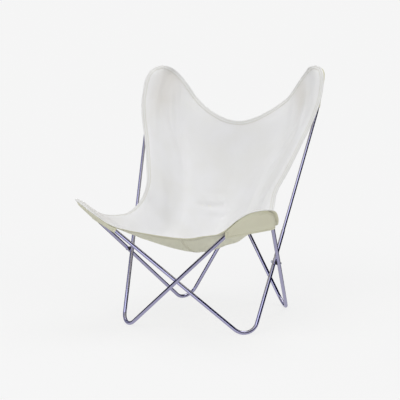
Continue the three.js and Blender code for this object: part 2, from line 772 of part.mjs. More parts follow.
[1, -1].forEach((side) => {
  const half = slingHalf(side);
  addPiece(`sling_half_${sideName(side)}`,
    thickSheet(half.grid, gridTriangles(slingRows, slingColumns), clothThickness), canvas);
  const backPocket = pocket(half.backPin, half.sideEdge, half.backEdge, {
    depth: backPocketDepth, mouthShare: backMouthShare, ease: 0, outerLegShare: 1,
  });
  const frontPocket = pocket(half.frontPin, half.sideEdge, half.frontEdge, {
    depth: frontPocketDepth,
    mouthShare: frontMouthShare,
    ease: frontPocketEase,
    outerLegShare: frontOuterLegShare,
  });
  [['back', backPocket], ['front', frontPocket]].forEach(([end, shape]) => {
    const triangles = gridTriangles(shape.rows, shape.columns);
    addPiece(`${end}_pocket_${sideName(side)}`,
      thickSheet(shape.places, triangles, clothThickness), canvas);
  });
});

// The origin is on the floor below the middle of the chair's box.
const box = new THREE.Box3().setFromObject(content);
const middle = box.getCenter(new THREE.Vector3());
content.position.set(-middle.x, -middle.y, 0);

export default chair;
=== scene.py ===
import math

import bpy
import numpy as np
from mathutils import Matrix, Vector
from mathutils.bvhtree import BVHTree


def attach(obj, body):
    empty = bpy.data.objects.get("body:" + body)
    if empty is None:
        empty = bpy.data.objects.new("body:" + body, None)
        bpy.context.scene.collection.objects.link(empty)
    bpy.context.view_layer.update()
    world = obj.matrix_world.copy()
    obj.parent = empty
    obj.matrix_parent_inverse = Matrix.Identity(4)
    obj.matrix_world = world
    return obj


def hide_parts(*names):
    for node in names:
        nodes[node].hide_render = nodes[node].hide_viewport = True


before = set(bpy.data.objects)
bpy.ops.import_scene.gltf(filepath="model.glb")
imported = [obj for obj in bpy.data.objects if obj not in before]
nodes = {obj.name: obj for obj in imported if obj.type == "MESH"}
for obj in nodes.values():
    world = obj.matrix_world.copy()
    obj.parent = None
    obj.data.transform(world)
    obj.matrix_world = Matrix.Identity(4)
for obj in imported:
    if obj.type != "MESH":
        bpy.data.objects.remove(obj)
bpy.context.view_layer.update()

# Lengths are in millimetres until a mesh is made.
MM = 0.001

# Hairpins of the frame: the corner of the bend and the far ends of its outer and inner leg,
# from the middle between the loops; the frame's own middle lies off by FRAME_SHIFT.
FRAME_SHIFT = np.array([-0.158, 68.6, 0.0])
BACK_PINS = {
    1: ((339.3, 281.705, 978.0), (325.685, 185.251, 725.844), (215.379, 307.81, 724.834)),
    -1: ((-339.3, 267.295, 978.0), (-326.594, 171.058, 726.239), (-215.646, 293.434, 725.309)),
}
FRONT_PINS = {
    1: ((357.0, -456.005, 490.8), (206.0, 237.295, -26.849), (-234.681, -251.705, -27.359)),
    -1: ((-357.0, -441.595, 490.8), (-206.0, 251.705, -26.849), (231.244, -237.295, -27.388)),
}
BACK_BEND_RADIUS = 47.4
FRONT_BEND_RADIUS = 54.7
UPPER_TUBE_RADIUS = 5.25
LOWER_TUBE_RADIUS = 6.35

# Pockets and the free edges of the sling, as the solids have them. An edge lists travel along
# the hairpin as a share of the pocket's depth, then reach and lift as shares of the hem's.
BACK_POCKET_DEPTH = 165.0
FRONT_POCKET_DEPTH = 150.0
BACK_HEM = (32.0, 32.0)
FRONT_HEM = (26.0, 30.0)
BACK_OUTER_EDGE = [
    (0, 0.28, 0.62), (0.14, 0.36, 0.34), (0.3, 0.58, 0.3), (0.48, 0.86, 0.25),
    (0.73, 0.97, 0.25), (0.97, 1.05, 0.38), (1.4, 0.94, 0.81), (1.92, 0.73, 1.67),
    (2.55, 0.74, 2.87), (3.11, 0.97, 4.03),
]
BACK_INNER_EDGE = [
    (0.13, 0.1, 1), (0.33, 0.34, 0.88), (0.59, 0.73, 0.97), (0.91, 0.92, 1.16),
    (1.06, 0.95, 1.4), (1.32, 0.91, 2.28), (1.72, 1.31, 3.86),
]
FRONT_OUTER_EDGE = [
    (1.9, 1.3, 5.13), (1.7, 0.36, 3.15), (1.52, 0.19, 2.26), (1.33, 0.46, 1.42),
    (1.14, 0.8, 0.85), (0.86, 0.95, 0.57), (0.6, 0.92, 0.41), (0.38, 0.76, 0.24),
    (0.19, 0.7, -0.03),
]
FRONT_INNER_EDGE = [
    (0, 0.76, -0.14), (0.19, 0.93, -0.18), (0.39, 1, -0.2), (0.61, 1.02, -0.13),
    (0.84, 0.96, 0.01), (1.05, 0.85, 0.33), (1.23, 1, 0.76), (1.38, 1.33, 1.13),
]
SEAM_REACH, SEAM_HEIGHT = 319.5, 490.8
SEAM = [
    (-0.87, 0.642), (-0.72, 0.565), (-0.523, 0.51), (-0.28, 0.492), (-0.06, 0.502),
    (0.16, 0.562), (0.376, 0.696), (0.58, 0.886), (0.73, 1.1), (0.805, 1.3), (0.825, 1.37),
]
SEAT_LIFT, SEAT_TILT = 14.0, 7.0
SEAT_LIFT_PLACE = (0.5, 0.16)
SEAT_LIFT_SPREAD = (0.42, 0.12)
SEAT_SWAY, SEAT_WIDEN = 10.5, 3.5
SWAY_PLACE, SWAY_SPREAD = 0.47, 0.19
HEM_SLOPE = 1.3

# How the halves are divided: columns crowd to the side edge, and rows to the front and back.
COLUMNS = 64
ROWS = 130
COLUMN_CROWDING = 1.4
ROW_CROWDING = 0.55
SPLINE_STEPS = 24
LEAST_CHORD = 1e-4
LEAST_LENGTH = 1e-9
SEAM_REACH_COLUMNS, SEAM_SOFTNESS = 16, 6.4
SEAM_ROUNDED = (0.22, 0.42)

# Cloth and its sewing. A band's profile lists distances in from the edge and heights off
# the middle of the cloth; a bead's rings list shares of its half length, sinks and radii.
CLOTH = 1.4
TUBE_CLEARANCE = 1.2
FADE_DEPTH = 1.3
POCKET_DROP = 2.4
HEM_STEP = 5.0
LEAST_STEPS = 4
HEM_REACHES = (0, 3, 6, 9, 12, 15)
HEM_LINES = (5.5, 12.5)
HEM_FACE = [
    (-0.9, 0), (-0.6, 0.8), (0.4, 1.3), (2, 1.5), (4.9, 1.5), (5.5, 1.0), (6.1, 1.5),
    (11.9, 1.5), (12.5, 1.0), (13.1, 1.5), (14.3, 1.4), (14.8, 0.6),
]
HEM_BACK = [(14.8, -0.6), (14.2, -1.1), (0.4, -1.1), (-0.6, -0.7)]
# Profile steps that lie in the stitch grooves; their faces take the painted groove shade.
GROOVES = ((1.5, 1.0), (1.0, 1.5), (1.4, 0.6))
MOUTH_PROFILE = [
    (-0.6, 0), (-0.3, 1.1), (0.8, 1.25), (10.2, 1.25), (11, 0.6), (11, -0.6), (10.2, -1.25),
    (0.8, -1.25), (-0.3, -1.1),
]
MOUTH_LINE = 8.5
SEAM_HALF = 6.0
SEAM_LINES = (2.2, 9.8)
SEAM_PROFILE = [
    (0, 0.5), (1.4, 0.78), (5.8, 0.85), (6.2, 0.85), (10.6, 0.78), (12, 0.5),
    (12, -0.5), (11.4, -1.3), (0.6, -1.3), (0, -0.5),
]
STITCH_LENGTH = 3.4
STITCH_PITCH = 4.6
THREAD_SIDES = 5
BEAD = [(-1, 0.5, 0.2), (-0.6, 0, 0.36), (0.6, 0, 0.36), (1, 0.5, 0.2)]
NARROW_REACHES = (0, 3, 6, 9, 12)
HEM_FACE_THREAD, HEM_BACK_THREAD, SEAM_THREAD, MOUTH_THREAD = 1.15, -1.25, -1.35, 1.2
# Rows or columns between an edge and the line that shows which way is inwards.
INNER = 3

# Pockets of the cloth, by end of the sling and by side: 1 is the right and -1 the left. A
# mouth's share brings the hem's end of each row nearer to the tip, the outer leg's share
# shortens a pocket on that leg, and an inset is how far in from the edge it is sewn on.
BACK_MOUTH = 0.97
FRONT_MOUTH = {1: 0.84, -1: 0.97}
FRONT_OUTER_LEG = 0.8
LEFT_DEEPER = 11
LEAST_WRAP = math.radians(12)
WRAP_CLEARANCE = 0.4
WRAP_STEPS, SPAN_STEPS = 10, 14
LEG_ROWS, ARC_ROWS = 18, 14
WALL_SHARES = (0.25, 0.5, 0.75, 1)
POCKET_INSET = {("front", "side"): 10.5, ("front", "front"): 5.5, ("back", "side"): 7.5,
                ("back", "back"): 4.0}

# Painted shade on the sling in front of the pockets, where a pocket lies behind the cloth:
# by share of their depth, and by place and spread from the left edge, -1, to the right one.
POCKET_SHADE_FADE = 0.4
POCKET_SHADE_REACH = 1.45
POCKET_SHADE_PLACES = ((-0.7, 0.14), (0.57, 0.1))

# Folds that both halves have: from and to are shares from the seam to the side edge and from
# the front to the back; then width and height in millimetres. The spans turn shares into
# millimetres, and the fades let heights grow from the seam, the side edge, and both ends.
HALF_SPAN, SPAN = 357, 978
FOLDS = [
    ((0.97, 0.93), (0.45, 0.6), 30, 5),
    ((0.8, 0.97), (0.3, 0.72), 30, -4),
    ((0.86, 0.12), (0.35, 0.2), 30, 3.5),
]
SEAM_FADE, SIDE_FADE, END_FADE = 4, 6, 8
WRINKLE_SIDE_FADE, WRINKLE_END_FADE = 9, 14

# Wrinkles of the hung cloth: from and to, as shares from the seam, negative to the left, and
# from the front; then width and height in millimetres.
WRINKLES = [
    ((-0.87, 0.985), (-0.85, 0.68), 11, 4),
    ((-0.76, 0.97), (-0.62, 0.74), 11, 3.5),
    ((-0.98, 0.86), (-0.9, 0.62), 9, 2),
    ((-0.745, 0.995), (-0.6, 0.915), 5, -4.6),
    ((-0.66, 0.99), (-0.46, 0.93), 6, 3.4),
    ((-0.58, 0.985), (-0.4, 0.955), 5, -1.5),
    ((-0.88, 0.58), (-0.6, 0.32), 40, 3.5),
    ((-0.52, 0.78), (-0.42, 0.34), 30, -6),
    ((-0.99, 0.5), (-0.86, 0.41), 7, -2.2),
    ((-0.97, 0.47), (-0.84, 0.36), 6, 2),
    ((-0.98, 0.44), (-0.88, 0.33), 5, -1.6),
    ((0.56, 0.99), (0.58, 0.78), 16, 4.5),
    ((0.42, 0.86), (0.55, 0.36), 70, 10),
    ((0.76, 0.97), (0.84, 0.66), 10, 3.5),
    ((0.92, 0.62), (0.78, 0.34), 22, 4),
    ((0.99, 0.5), (0.88, 0.42), 6, -2),
    ((0.45, 0.985), (0.2, 0.97), 6, 1.6),
    ((0.5, 0.97), (0.28, 0.95), 6, -1.6),
    ((-0.36, 0.55), (0.0, 0.6), 8, -7.5),
    ((-0.32, 0.525), (0.02, 0.572), 7, 4.2),
    ((-0.26, 0.585), (0.06, 0.63), 8, 2.2),
    ((-0.3, 0.62), (0.02, 0.665), 8, -1.6),
    ((-0.14, 0.52), (0.2, 0.56), 8, -3.2),
    ((-0.1, 0.54), (0.22, 0.585), 7, 1.8),
    ((-0.62, 0.2), (-0.3, 0.3), 14, -2),
    ((0.5, 0.2), (0.2, 0.27), 14, 2),
]


def unit(v):
    return v / np.linalg.norm(v)


def unit_rows(rows):
    return rows / np.maximum(np.linalg.norm(rows, axis=-1, keepdims=True), LEAST_LENGTH)


class Hairpin:
    """A half circle of tube and its two legs in one plane; travel runs from the apex."""

    def __init__(self, corners, bend_radius, tube_radius):
        tip, outer_end, inner_end = (np.array(c) + FRAME_SHIFT for c in corners)
        self.outer, self.inner = unit(outer_end - tip), unit(inner_end - tip)
        self.up = -unit(self.outer + self.inner)
        self.across = unit(self.outer - self.inner)
        self.spread = math.acos(self.outer @ self.inner) / 2
        self.centre = tip - self.up * bend_radius / math.sin(self.spread)
        self.front = np.cross(self.up, self.across)
        seat = FRAME_SHIFT + (0, 0, SEAM_HEIGHT)
        if self.front @ (seat - self.centre) < 0:
            self.front = -self.front
        self.bend, self.tube = bend_radius, tube_radius
        self.arc_angle = math.pi / 2 - self.spread
        self.arc = bend_radius * self.arc_angle

    def station(self, travel):
        sign = -1 if travel < 0 else 1
        angle = sign * min(abs(travel) / self.bend, self.arc_angle)
        away = self.up * math.cos(angle) + self.across * math.sin(angle)
        leg = max(abs(travel) - self.arc, 0)
        down = self.outer if sign > 0 else self.inner
        return self.centre + away * self.bend + down * leg, away

    def hem(self, travel, reach, lift):
        place, away = self.station(travel)
        return place + away * reach + self.front * lift

    def travel_of(self, place):
        offset = place - self.centre
        a, b = offset @ self.up, offset @ self.across
        angle = math.atan2(abs(b), a)
        if angle <= self.arc_angle:
            return math.copysign(self.bend * angle, b)
        leg = ((abs(b) - self.bend * math.sin(self.arc_angle)) * math.sin(self.spread)
               - (a - self.bend * math.cos(self.arc_angle)) * math.cos(self.spread))
        return math.copysign(self.arc + leg, b)


def smooth_line(places):
    """A centripetal spline through places, as dense points."""
    p = [np.array(q, float) for q in places]
    p = [2 * p[0] - p[1], *p, 2 * p[-1] - p[-2]]
    out = []
    for i in range(1, len(p) - 2):
        a, b, c, d = p[i - 1:i + 3]
        ab, bc, cd = (max(np.linalg.norm(y - x), LEAST_CHORD) ** 0.5
                      for x, y in ((a, b), (b, c), (c, d)))
        m = ((b - a) / ab - (c - a) / (ab + bc) + (c - b) / bc) * bc
        n = ((c - b) / bc - (d - b) / (bc + cd) + (d - c) / cd) * bc
        for t in np.arange(SPLINE_STEPS) / SPLINE_STEPS:
            out.append(b * (2 * t**3 - 3 * t**2 + 1) + m * (t**3 - 2 * t**2 + t)
                       + c * (3 * t**2 - 2 * t**3) + n * (t**3 - t**2))
    out.append(p[-2])
    return np.array(out)


def reach_of(line):
    """How far each place of a line is from its start, along it."""
    return np.concatenate([[0], np.cumsum(np.linalg.norm(np.diff(line, axis=0), axis=1))])


def at_shares(line, shares):
    reach = reach_of(line)
    want = np.asarray(shares) * reach[-1]
    return np.stack([np.interp(want, reach, line[:, k]) for k in range(3)], axis=1)


def column_share(s):
    return 1 - (1 - s) ** COLUMN_CROWDING


def row_share(s):
    return s - ROW_CROWDING * np.sin(2 * np.pi * s) / (2 * np.pi)


U = column_share(np.arange(COLUMNS + 1) / COLUMNS)
V = row_share(np.arange(ROWS + 1) / ROWS)


def half_sling(side):
    """Places of one half: rows from the front to the back, columns from the seam out."""
    back = Hairpin(BACK_PINS[side], BACK_BEND_RADIUS, UPPER_TUBE_RADIUS)
    front = Hairpin(FRONT_PINS[side], FRONT_BEND_RADIUS, LOWER_TUBE_RADIUS)

    def back_hem(shares, sign):
        travel, reach, lift = shares
        return back.hem(
            sign * travel * BACK_POCKET_DEPTH, reach * BACK_HEM[0], lift * BACK_HEM[1])

    def front_hem(shares, sign):
        travel, reach, lift = shares
        return front.hem(
            sign * travel * FRONT_POCKET_DEPTH, reach * FRONT_HEM[0], lift * FRONT_HEM[1])

    x, y, _ = FRAME_SHIFT
    seam = [(x, a * SEAM_REACH + y, b * SEAM_HEIGHT) for a, b in SEAM]
    side_edge = [front_hem(FRONT_INNER_EDGE[0], -1)]
    side_edge += [front_hem(e, 1) for e in reversed(FRONT_OUTER_EDGE)]
    side_edge += [back_hem(e, 1) for e in reversed(BACK_OUTER_EDGE)]
    front_tip, back_tip = side_edge[0], side_edge[-1]
    front_inner = [front_hem(e, -1) for e in reversed(FRONT_INNER_EDGE[1:])]
    back_inner = [back_hem(e, -1) for e in reversed(BACK_INNER_EDGE)]

    def across(start, rest, end):
        first = rest[0]
        mirrored = np.array([2 * x - first[0], first[1], first[2]])
        places = [mirrored, np.array(start), *rest, end][::-1]
        line = smooth_line(places)[:(len(places) - 2) * SPLINE_STEPS + 1]
        return at_shares(line, 1 - U[::-1])[::-1]

    line_side = at_shares(smooth_line(side_edge), V)
    line_seam = at_shares(smooth_line(seam), V)
    line_front = across(seam[0], front_inner, front_tip)
    line_back = across(seam[-1], back_inner, back_tip)
    u, v = U[None, :, None], V[:, None, None]
    grid = (line_seam[:, None] * (1 - u) + line_side[:, None] * u
            + line_front[None] * (1 - v) + line_back[None] * v
            - line_seam[0] * (1 - u) * (1 - v) - line_seam[-1] * (1 - u) * v
            - line_side[0] * u * (1 - v) - line_side[-1] * u * v)
    return grid, back, front


def grid_normals(grid):
    along = np.gradient(grid, axis=0)
    out = np.gradient(grid, axis=1)
    return unit_rows(np.cross(out, along))


def fold_heights(side):
    u, v = np.meshgrid(U, V)
    height = (SEAT_LIFT + side * SEAT_TILT) * np.exp(
        -(((u - SEAT_LIFT_PLACE[0]) / SEAT_LIFT_SPREAD[0]) ** 2)
        - ((v - SEAT_LIFT_PLACE[1]) / SEAT_LIFT_SPREAD[1]) ** 2)
    for fold in FOLDS:
        height += line_height(u, v, *fold)
    fade = np.minimum.reduce([np.ones_like(u), SEAM_FADE * u, SIDE_FADE * (1 - u),
                              END_FADE * v, END_FADE * (1 - v)])
    return height * np.clip(fade, 0, 1)


def sway_waist(side):
    u, v = np.meshgrid(U, V)
    return (SEAT_SWAY + side * SEAT_WIDEN) * u * np.exp(-((v - SWAY_PLACE) / SWAY_SPREAD) ** 2)


def lift_over(grid, pin):
    """Lays the cloth from its hem up over the front hairpin and on between the legs."""
    crest = pin.tube + CLOTH / 2 + TUBE_CLEARANCE
    for row in range(1, len(grid)):
        for column in range(COLUMNS):
            place = grid[row, column]
            travel = abs(pin.travel_of(place))
            if travel > FADE_DEPTH * FRONT_POCKET_DEPTH:
                continue
            on_tube, away = pin.station(pin.travel_of(place))
            reach, lift = (place - on_tube) @ away, (place - on_tube) @ pin.front
            if reach > FRONT_HEM[0]:
                continue
            wanted = crest * (1 - HEM_SLOPE * max(reach, 0) / FRONT_HEM[0])
            fade = (FADE_DEPTH - travel / FRONT_POCKET_DEPTH) / (FADE_DEPTH - 1)
            if lift < wanted:
                grid[row, column] = place + pin.front * (wanted - lift) * min(fade, 1)
    return grid


def build_sling():
    halves = {}
    for side in (1, -1):
        grid, back, front = half_sling(side)
        grid[:, :, 0] += sway_waist(side)
        normal = grid_normals(grid)
        flip = np.where(normal[:, :, 2:] - normal[:, :, 1:2] < 0, -1.0, 1.0)
        grid = lift_over(grid + normal * flip * fold_heights(side)[:, :, None], front)
        halves[side] = (grid, back, front)
    left, right = halves[-1][0], halves[1][0]
    whole = soften_seam(np.concatenate([left[:, :0:-1], right], axis=1))
    normal = grid_normals(whole)
    whole = whole + normal * wrinkle_heights()[:, :, None]
    for side, part in ((-1, whole[:, COLUMNS::-1]), (1, whole[:, COLUMNS:])):
        halves[side] = (part, *halves[side][1:])
    return whole, halves


def soften_seam(whole):
    """Rounds the cloth over the seam, where the two halves would meet in a fold."""
    offsets = np.arange(-SEAM_REACH_COLUMNS, SEAM_REACH_COLUMNS + 1)
    weights = np.exp(-(offsets / SEAM_SOFTNESS) ** 2)
    around = sum(w * np.roll(whole, k, axis=1) for w, k in zip(weights, offsets))
    across = abs(np.linspace(-1, 1, whole.shape[1]))
    share = np.clip((SEAM_ROUNDED[1] - across) / (SEAM_ROUNDED[1] - SEAM_ROUNDED[0]), 0, 1)
    return whole + (around / weights.sum() - whole) * share[None, :, None]


def painted_pocket_shade(whole, halves):
    """Painted shade mask: 1 where a pocket lies behind the cloth, between the legs of its
    hairpin.
    """
    pins = [(part[k], depth) for part in halves.values()
            for k, depth in ((1, BACK_POCKET_DEPTH), (2, FRONT_POCKET_DEPTH))]
    depths = np.array([[max(1 - abs(pin.travel_of(p)) / (depth * POCKET_SHADE_REACH)
                            for pin, depth in pins)
                        for p in row] for row in whole])
    across = np.linspace(-1, 1, whole.shape[1])
    windows = sum(np.exp(-((across - place) / spread) ** 2)
                  for place, spread in POCKET_SHADE_PLACES)
    return (np.clip(depths / POCKET_SHADE_FADE, 0, 1) * windows).ravel()


def line_height(u, v, start, end, width, rise):
    """A swelling along a line on the sling that dies away at both its ends."""
    run = np.array(end) - np.array(start)
    s = np.clip(((u - start[0]) * run[0] + (v - start[1]) * run[1]) / (run @ run), 0, 1)
    apart = np.hypot((u - start[0] - s * run[0]) * HALF_SPAN,
                     (v - start[1] - s * run[1]) * SPAN)
    return rise * np.sin(np.pi * s) * np.exp(-((apart / width) ** 2))


def wrinkle_heights():
    u, v = np.meshgrid(np.concatenate([-U[:0:-1], U]), V)
    height = sum(line_height(u, v, *wrinkle) for wrinkle in WRINKLES)
    fade = np.minimum.reduce([np.ones_like(u), WRINKLE_SIDE_FADE * (1 - abs(u)),
                              WRINKLE_END_FADE * v, WRINKLE_END_FADE * (1 - v)])
    return height * np.clip(fade, 0, 1)


def make_mesh(name, places, faces, material_of, materials):
    mesh = bpy.data.meshes.new(name)
    mesh.from_pydata([tuple(p * MM) for p in places], [], faces)
    for material in materials:
        mesh.materials.append(material)
    if material_of is not None:
        mesh.polygons.foreach_set("material_index", material_of)
    mesh.polygons.foreach_set("use_smooth", [True] * len(mesh.polygons))
    mesh.validate()
    mesh.update()
    piece = bpy.data.objects.new(name, mesh)
    bpy.context.scene.collection.objects.link(piece)
    return piece


def reach_along(grid, axis):
    """How far each place of a grid is from its first row or column, along the cloth."""
    reach = np.cumsum(np.linalg.norm(np.diff(grid, axis=axis), axis=2), axis=axis)
    return np.concatenate([np.zeros_like(reach.take([0], axis)), reach], axis=axis)


def grid_faces(rows, columns):
    at = np.arange(rows * columns).reshape(rows, columns)
    quads = np.stack([at[:-1, :-1], at[:-1, 1:], at[1:, 1:], at[1:, :-1]], axis=-1)
    return at, quads.reshape(-1, 4)


def sheet_mesh(name, grid, materials):
    """Two faces and a rim about a grid of places; the first face is the sitter's."""
    rows, columns = grid.shape[:2]
    normal = grid_normals(grid)
    front = grid + normal * CLOTH / 2
    back = grid - normal * CLOTH / 2
    count = rows * columns
    at, quads = grid_faces(rows, columns)
    faces = [tuple(q) for q in quads] + [tuple(q[::-1] + count) for q in quads]
    rim = [*at[0, :], *at[1:, -1], *at[-1, -2::-1], *at[-2:0:-1, 0]]
    for i, a in enumerate(rim):
        b = rim[(i + 1) % len(rim)]
        faces.append((b, a, a + count, b + count))
    kinds = [0] * len(quads) + [1] * len(quads) + [1] * len(rim)
    places = np.concatenate([front.reshape(-1, 3), back.reshape(-1, 3)])
    piece = make_mesh(name, places, faces, kinds, materials)
    across = reach_along(grid, 1)
    across -= across[:, columns // 2][:, None]
    along = reach_along(grid, 0)
    uv = np.stack([across, along], axis=-1).reshape(-1, 2)
    uv = np.concatenate([uv, uv]) * MM
    layer = piece.data.uv_layers.new(name="cloth")
    loops = np.zeros(len(piece.data.loops), int)
    piece.data.loops.foreach_get("vertex_index", loops)
    layer.data.foreach_set("uv", uv[loops].ravel())
    return piece


def even_line(rows, step, closed):
    """Samples a line of places, which may carry more columns, at even steps."""
    if closed:
        rows = np.concatenate([rows, rows[:1]])
    reach = reach_of(rows[:, :3])
    count = max(int(reach[-1] / step), LEAST_STEPS)
    want = np.linspace(0, reach[-1], count + 1)[:-1 if closed else None]
    return np.stack([np.interp(want, reach, column) for column in rows.T], axis=1)


def surface_tree(grid):
    quads = grid_faces(*grid.shape[:2])[1]
    return BVHTree.FromPolygons([Vector(p) for p in grid.reshape(-1, 3)], quads.tolist())


class Strip:
    """A strip of a surface beside a line on it: distances are from the line inwards."""

    def __init__(self, grid, line, inner, closed, reaches):
        both = even_line(np.concatenate([line, inner], axis=1), HEM_STEP, closed)
        edge, toward = both[:, :3], both[:, 3:]
        self.closed, self.reaches = closed, np.array(reaches, float)
        if closed:
            tangent = np.roll(edge, -2, axis=0) - np.roll(edge, 2, axis=0)
        else:
            tangent = np.gradient(edge, axis=0)
        tangent = unit_rows(tangent)
        inward = toward - edge
        inward -= tangent * np.sum(inward * tangent, axis=1, keepdims=True)
        self.inward = unit_rows(inward)
        tree = surface_tree(grid)
        self.places = np.stack([
            np.array([tree.find_nearest(Vector(p + w * d))[0]
                      for p, w in zip(edge, self.inward)])
            for d in self.reaches], axis=1)
        ahead = np.roll(self.places, -1, axis=0) - np.roll(self.places, 1, axis=0)
        if not closed:
            ahead = np.gradient(self.places, axis=0)
        self.normals = unit_rows(np.cross(np.gradient(self.places, axis=1), ahead))
        middle = len(self.reaches) // 2
        if np.mean(self.normals[:, middle, 2] - self.normals[:, middle, 1]) < 0:
            self.normals = -self.normals

    def at(self, reach, height):
        """The line at a distance in from the edge and a height off the surface."""
        past = min(reach - self.reaches[0], 0)
        k = int(np.clip(np.searchsorted(self.reaches, reach) - 1, 0, len(self.reaches) - 2))
        near, far = self.reaches[k:k + 2]
        share = np.clip((reach - near) / (far - near), 0, 1)
        place = self.places[:, k] * (1 - share) + self.places[:, k + 1] * share
        normal = unit_rows(self.normals[:, k] * (1 - share) + self.normals[:, k + 1] * share)
        return place + normal * height + self.inward * past, normal

    def band(self, name, profile, face, back, grooves=()):
        """A closed skin whose cross-section is the profile of distances and heights."""
        rings = np.stack([self.at(*corner)[0] for corner in profile], axis=1)
        count, sides = rings.shape[:2]
        at = np.arange(count * sides).reshape(count, sides)
        ahead = np.roll(at, -1, axis=0) if self.closed else at[1:]
        here = at if self.closed else at[:-1]
        faces = np.stack(
            [here, np.roll(here, -1, axis=1), np.roll(ahead, -1, axis=1), ahead], axis=-1)
        faces = faces.reshape(-1, 4).tolist()
        heights = [(profile[k][1], profile[(k + 1) % sides][1]) for k in range(sides)]
        # Faces in the stitch grooves get painted shade.
        kinds = [1 if min(pair) < 0 else 2 if pair in grooves else 0 for pair in heights]
        kinds = kinds * len(here)
        if not self.closed:
            faces += [at[0, ::-1].tolist(), at[-1].tolist()]
            kinds += [1, 1]
        return make_mesh(
            name, rings.reshape(-1, 3), outward(rings, faces), kinds, [face, back, GROOVE_SHADE])


def outward(rings, faces):
    """Turns all faces round when the skin's volume comes out negative."""
    p = rings.reshape(-1, 3) - rings.reshape(-1, 3).mean(axis=0)
    quads = np.array([f for f in faces if len(f) == 4])
    a, b, c, d = (p[quads[:, k]] for k in range(4))
    volume = np.sum(np.cross(a, b) * c) + np.sum(np.cross(a, c) * d)
    return faces if volume > 0 else [f[::-1] for f in faces]


def stitches(name, lines):
    """Rows of thread, each stitch a small bead that dips into the cloth at both ends."""
    places, faces = [], []
    for strip, reach, height in lines:
        line, normals = strip.at(reach, height)
        both = even_line(np.concatenate([line, normals], axis=1), STITCH_PITCH, strip.closed)
        line, normals = both[:, :3], unit_rows(both[:, 3:])
        heading = unit_rows(np.gradient(line, axis=0))
        if strip.closed:
            heading = unit_rows(np.roll(line, -1, axis=0) - np.roll(line, 1, axis=0))
        side = np.cross(heading, normals)
        for p, h, n, w in zip(line, heading, normals, side):
            start = len(places)
            for share, sink, radius in BEAD:
                for angle in np.arange(THREAD_SIDES) * 2 * math.pi / THREAD_SIDES:
                    places.append(p + h * share * STITCH_LENGTH / 2 - n * sink
                                  + (w * math.cos(angle) + n * math.sin(angle)) * radius)
            for ring in range(len(BEAD) - 1):
                a = start + ring * THREAD_SIDES
                for k in range(THREAD_SIDES):
                    m = (k + 1) % THREAD_SIDES
                    faces.append((a + k, a + m, a + THREAD_SIDES + m, a + THREAD_SIDES + k))
            end = start + (len(BEAD) - 1) * THREAD_SIDES
            faces.append(tuple(range(start, start + THREAD_SIDES))[::-1])
            faces.append(tuple(range(end, end + THREAD_SIDES)))
    return make_mesh(name, np.array(places), faces, None, [SHADED_THREAD])


# Materials.

# Sockets of a mix node, which have the same names for numbers and for colours.
FACTOR, NUMBER_A, NUMBER_B, COLOUR_A, COLOUR_B = 0, 2, 3, 6, 7
NUMBER_OUT, COLOUR_OUT = 0, 2

WEAVE = {"Scale": 190, "Distortion": 1.2, "Detail": 1, "Detail Scale": 1.5}
SLUB = {"Scale": 140, "Detail": 3}
CLOUD = {"Scale": 9, "Detail": 2}
CLOUD_RANGE = {"From Min": 0.3, "From Max": 0.62}
WEAVE_BUMP = {"Strength": 0.1, "Distance": 0.0003}
SLUB_BUMP = {"Strength": 0.12, "Distance": 0.0006}
# Painted shade: the darker, warmer tone put on the cloth in front of a pocket.
POCKET_SHADE_TINT = (0.93, 0.91, 0.875, 1)
CLOTH_FINISH = {"Roughness": 0.92, "Specular IOR Level": 0.25, "Sheen Weight": 0.12,
                "Sheen Roughness": 0.5}
CHROME_HAZE = {"Scale": 900, "Detail": 3}
CHROME_ROUGHNESS = {"To Min": 0.07, "To Max": 0.11}
CHROME_TONES = ((0.52, 0.50, 0.68), (0.60, 0.58, 0.76))
STEEL_GRAIN = {"Scale": 900}
STEEL_ROUGHNESS = {"To Min": 0.22, "To Max": 0.38}
STEEL_TONE = (0.7, 0.7, 0.74, 1)
PLASTIC_GRAIN = {"Scale": 1500}
PLASTIC_BUMP = {"Strength": 0.3, "Distance": 0.0001}
PLASTIC_TONE, PLASTIC_ROUGHNESS = (0.02, 0.02, 0.024, 1), 0.5


def fill(node, values):
    for socket, value in values.items():
        node.inputs[socket].default_value = value


def new_node(tree, kind, values=None, links=None, **settings):
    """A node with its settings, the values of fixed inputs, and what links to the others."""
    node = tree.nodes.new("ShaderNode" + kind)
    for setting, value in settings.items():
        setattr(node, setting, value)
    fill(node, values or {})
    for socket, output in (links or {}).items():
        tree.links.new(output, node.inputs[socket])
    return node


def object_noise(tree, values):
    place = new_node(tree, "TexCoord").outputs["Object"]
    return new_node(tree, "TexNoise", values, {"Vector": place}).outputs["Fac"]


def ranged(tree, value, limits, **settings):
    return new_node(tree, "MapRange", limits, {"Value": value}, **settings).outputs["Result"]


def blended(tree, factor, first, second):
    """The tone between two colours that a number picks."""
    return new_node(tree, "Mix", {COLOUR_A: first, COLOUR_B: second}, {FACTOR: factor},
                    data_type="RGBA").outputs[COLOUR_OUT]


def new_material(name):
    material = bpy.data.materials.new(name)
    material.use_nodes = True
    tree = material.node_tree
    return material, tree, tree.nodes["Principled BSDF"]


